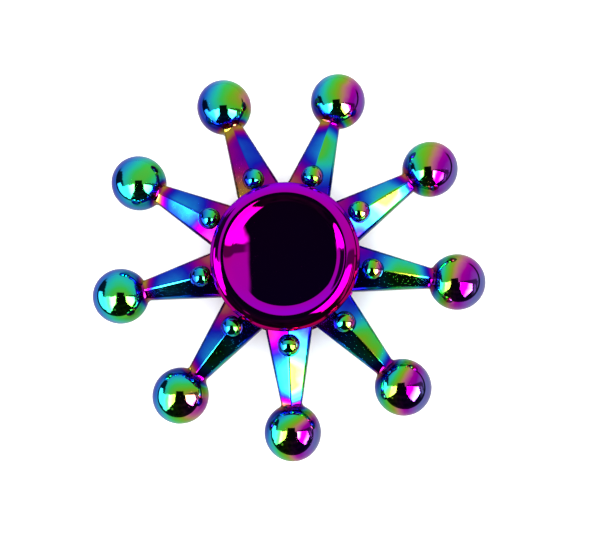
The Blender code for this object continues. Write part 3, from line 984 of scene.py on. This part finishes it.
def room_light(nodes, layout):
    """The room's brightness: pale wall and roof behind, windows in front, and what is dark between them."""
    room = Room(nodes, layout)
    roof = nodes.ramp01(room.v, -0.03, -0.005)
    room.lay(roof, nodes.math("MULTIPLY_ADD", room.v, 0.18, 0.66))
    room.lay(room.box(-0.78, layout.patch_end, 0.0, 0.40, 0.02, True), DARK_RADIANCE)

    stripes = nodes.math("SINE", nodes.math("MULTIPLY", room.rough_u, 70.0))
    blind = nodes.ramp01(stripes, -0.6, 0.6, 0.15, 0.65)
    room.lay(room.box(0.50, 0.75, -0.48, -0.03, 0.015, True), blind)

    left_window = room.window(-0.70, -0.22, -0.01, 0.47, 1.1)
    corner = nodes.math("SUBTRACT", room.rough_v, room.rough_u)
    cut_off = nodes.ramp01(corner, layout.corner_cut - 0.01, layout.corner_cut + 0.01)
    lamp = nodes.ramp01(room.rough_u, -0.44, -0.34, WINDOW_RADIANCE, layout.lamp_light)
    room.lay(nodes.math("MULTIPLY", left_window, cut_off), lamp)
    room.lay(room.box(-0.72, -0.60, -0.10, 0.10, 0.01, True), WINDOW_RADIANCE)
    room.lay(room.window(layout.window_start, 0.49, -0.03, 0.46, 1.2), layout.lamp_light)

    slope = nodes.math("DIVIDE", room.v, nodes.math("MAXIMUM", room.u, 0.02))
    pillar = nodes.band(slope, -0.17, 0.06, 0.03)
    pillar = nodes.math("MULTIPLY", pillar, nodes.band(room.u, layout.window_start, 0.62, 0.01))
    room.lay(pillar, PILLAR_RADIANCE)
    for u, v in ((-0.38, -0.63), (-0.30, -0.42)):
        room.lay(room.box(u - 0.025, u + 0.025, v - 0.02, v + 0.02, 0.012, True), SPOT_RADIANCE)
    room.lay(room.box(-0.18, 0.085, -0.30, layout.gear_end, 0.006), GEAR_RADIANCE)

    low = nodes.ramp01(room.height, 0.10, 0.03)
    room.lay(nodes.math("MULTIPLY", low, nodes.ramp01(room.v, 0.52, 0.40)), DARK_RADIANCE)
    return room.level


def build_room(name, centre, layout, seen_by):
    """A round room that only the pieces in seen_by mirror. Light and the camera pass through it."""
    points, faces = ball(ROOM_RADIUS, ROOM_SEGMENTS)
    room = joined(name, [(points, faces)])
    room.location = Vector(centre) * MM
    material = bpy.data.materials.new(name)
    material.use_nodes = True
    material.cycles.emission_sampling = "NONE"
    material.node_tree.nodes.clear()
    nodes = Nodes(material.node_tree)
    light = nodes.add("ShaderNodeEmission")
    level = room_light(nodes, layout)
    nodes.link(level, light.inputs["Strength"])
    tint = ((0.0, (0.20, 0.35, 1.0)), (0.06, (1.0, 1.0, 1.0)))
    nodes.link(nodes.colours(level, tint), light.inputs["Color"])
    both = nodes.add("ShaderNodeAddShader")
    nodes.link(light.outputs[0], both.inputs[0])
    nodes.link(nodes.add("ShaderNodeBsdfTransparent").outputs[0], both.inputs[1])
    nodes.link(both.outputs[0], nodes.add("ShaderNodeOutputMaterial").inputs["Surface"])
    room.data.materials.append(material)
    for ray in ("camera", "diffuse", "transmission", "volume_scatter", "shadow"):
        setattr(room, f"visible_{ray}", False)
    lit = bpy.data.collections.new(f"{name}_lights")
    for piece in seen_by:
        lit.objects.link(piece)
    room.light_linking.receiver_collection = lit
    room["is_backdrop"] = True


def build_rooms(caps):
    """The caps lie level below the camera, so their room stands upright. The other leans to the camera."""
    up = Vector(CAMERA_PLACE).normalized()
    right = (Vector((1.0, 0.0, 0.0)) - up * up.x).normalized()
    others = [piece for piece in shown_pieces() if piece not in caps]
    leaning = Layout(
        right=right,
        back=up.cross(right),
        lamp_light=LAMP_RADIANCE,
        window_start=0.15,
        corner_cut=0.0,
        patch_end=-0.54,
        gear_end=0.13,
    )
    upright = Layout(
        right=Vector((1.0, 0.0, 0.0)),
        back=Vector((0.0, 1.0, 0.0)),
        lamp_light=WINDOW_RADIANCE,
        window_start=0.09,
        corner_cut=0.22,
        patch_end=-0.37,
        gear_end=0.148,
    )
    build_room("room", (0.0, 0.0, 0.0), leaning, others)
    build_room("cap_room", CAP_ROOM_CENTRE, upright, caps)


def build_camera():
    """From the photograph's viewpoint. The roll turns the picture about the line of sight."""
    data = bpy.data.cameras.new("camera")
    data.sensor_width = 36.0
    data.lens = CAMERA_LENS
    data.clip_start, data.clip_end = 0.005, 20.0
    camera = bpy.data.objects.new("camera", data)
    place = Vector(CAMERA_PLACE) * MM
    forward = (Vector(CAMERA_AIM) * MM - place).normalized()
    right = forward.cross(Vector((0.0, 1.0, 0.0))).normalized()
    up = right.cross(forward)
    roll = math.radians(CAMERA_ROLL_DEG)
    rolled_right = right * math.cos(roll) + up * math.sin(roll)
    rolled_up = up * math.cos(roll) - right * math.sin(roll)
    matrix = Matrix((rolled_right, rolled_up, -forward)).transposed().to_4x4()
    matrix.translation = place
    camera.matrix_world = matrix
    bpy.context.scene.collection.objects.link(camera)
    bpy.context.scene.camera = camera


def main():
    bpy.context.scene.view_settings.view_transform = "Standard"
    build_camera()
    build_world()
    build_floor()
    build_casting(plated("rainbow_plating", 0.045, 0.004))
    build_beads(plated("bead_plating", 0.05, 0.002))
    caps = build_caps(cap_plating())
    steel, pressed = turned_steel(), pressed_steel()
    build_rings(steel)
    build_shields(pressed)
    build_bearing_balls(steel)
    build_cage_halves(pressed)
    build_cage_rivets(pressed)
    build_rooms(caps)


main()
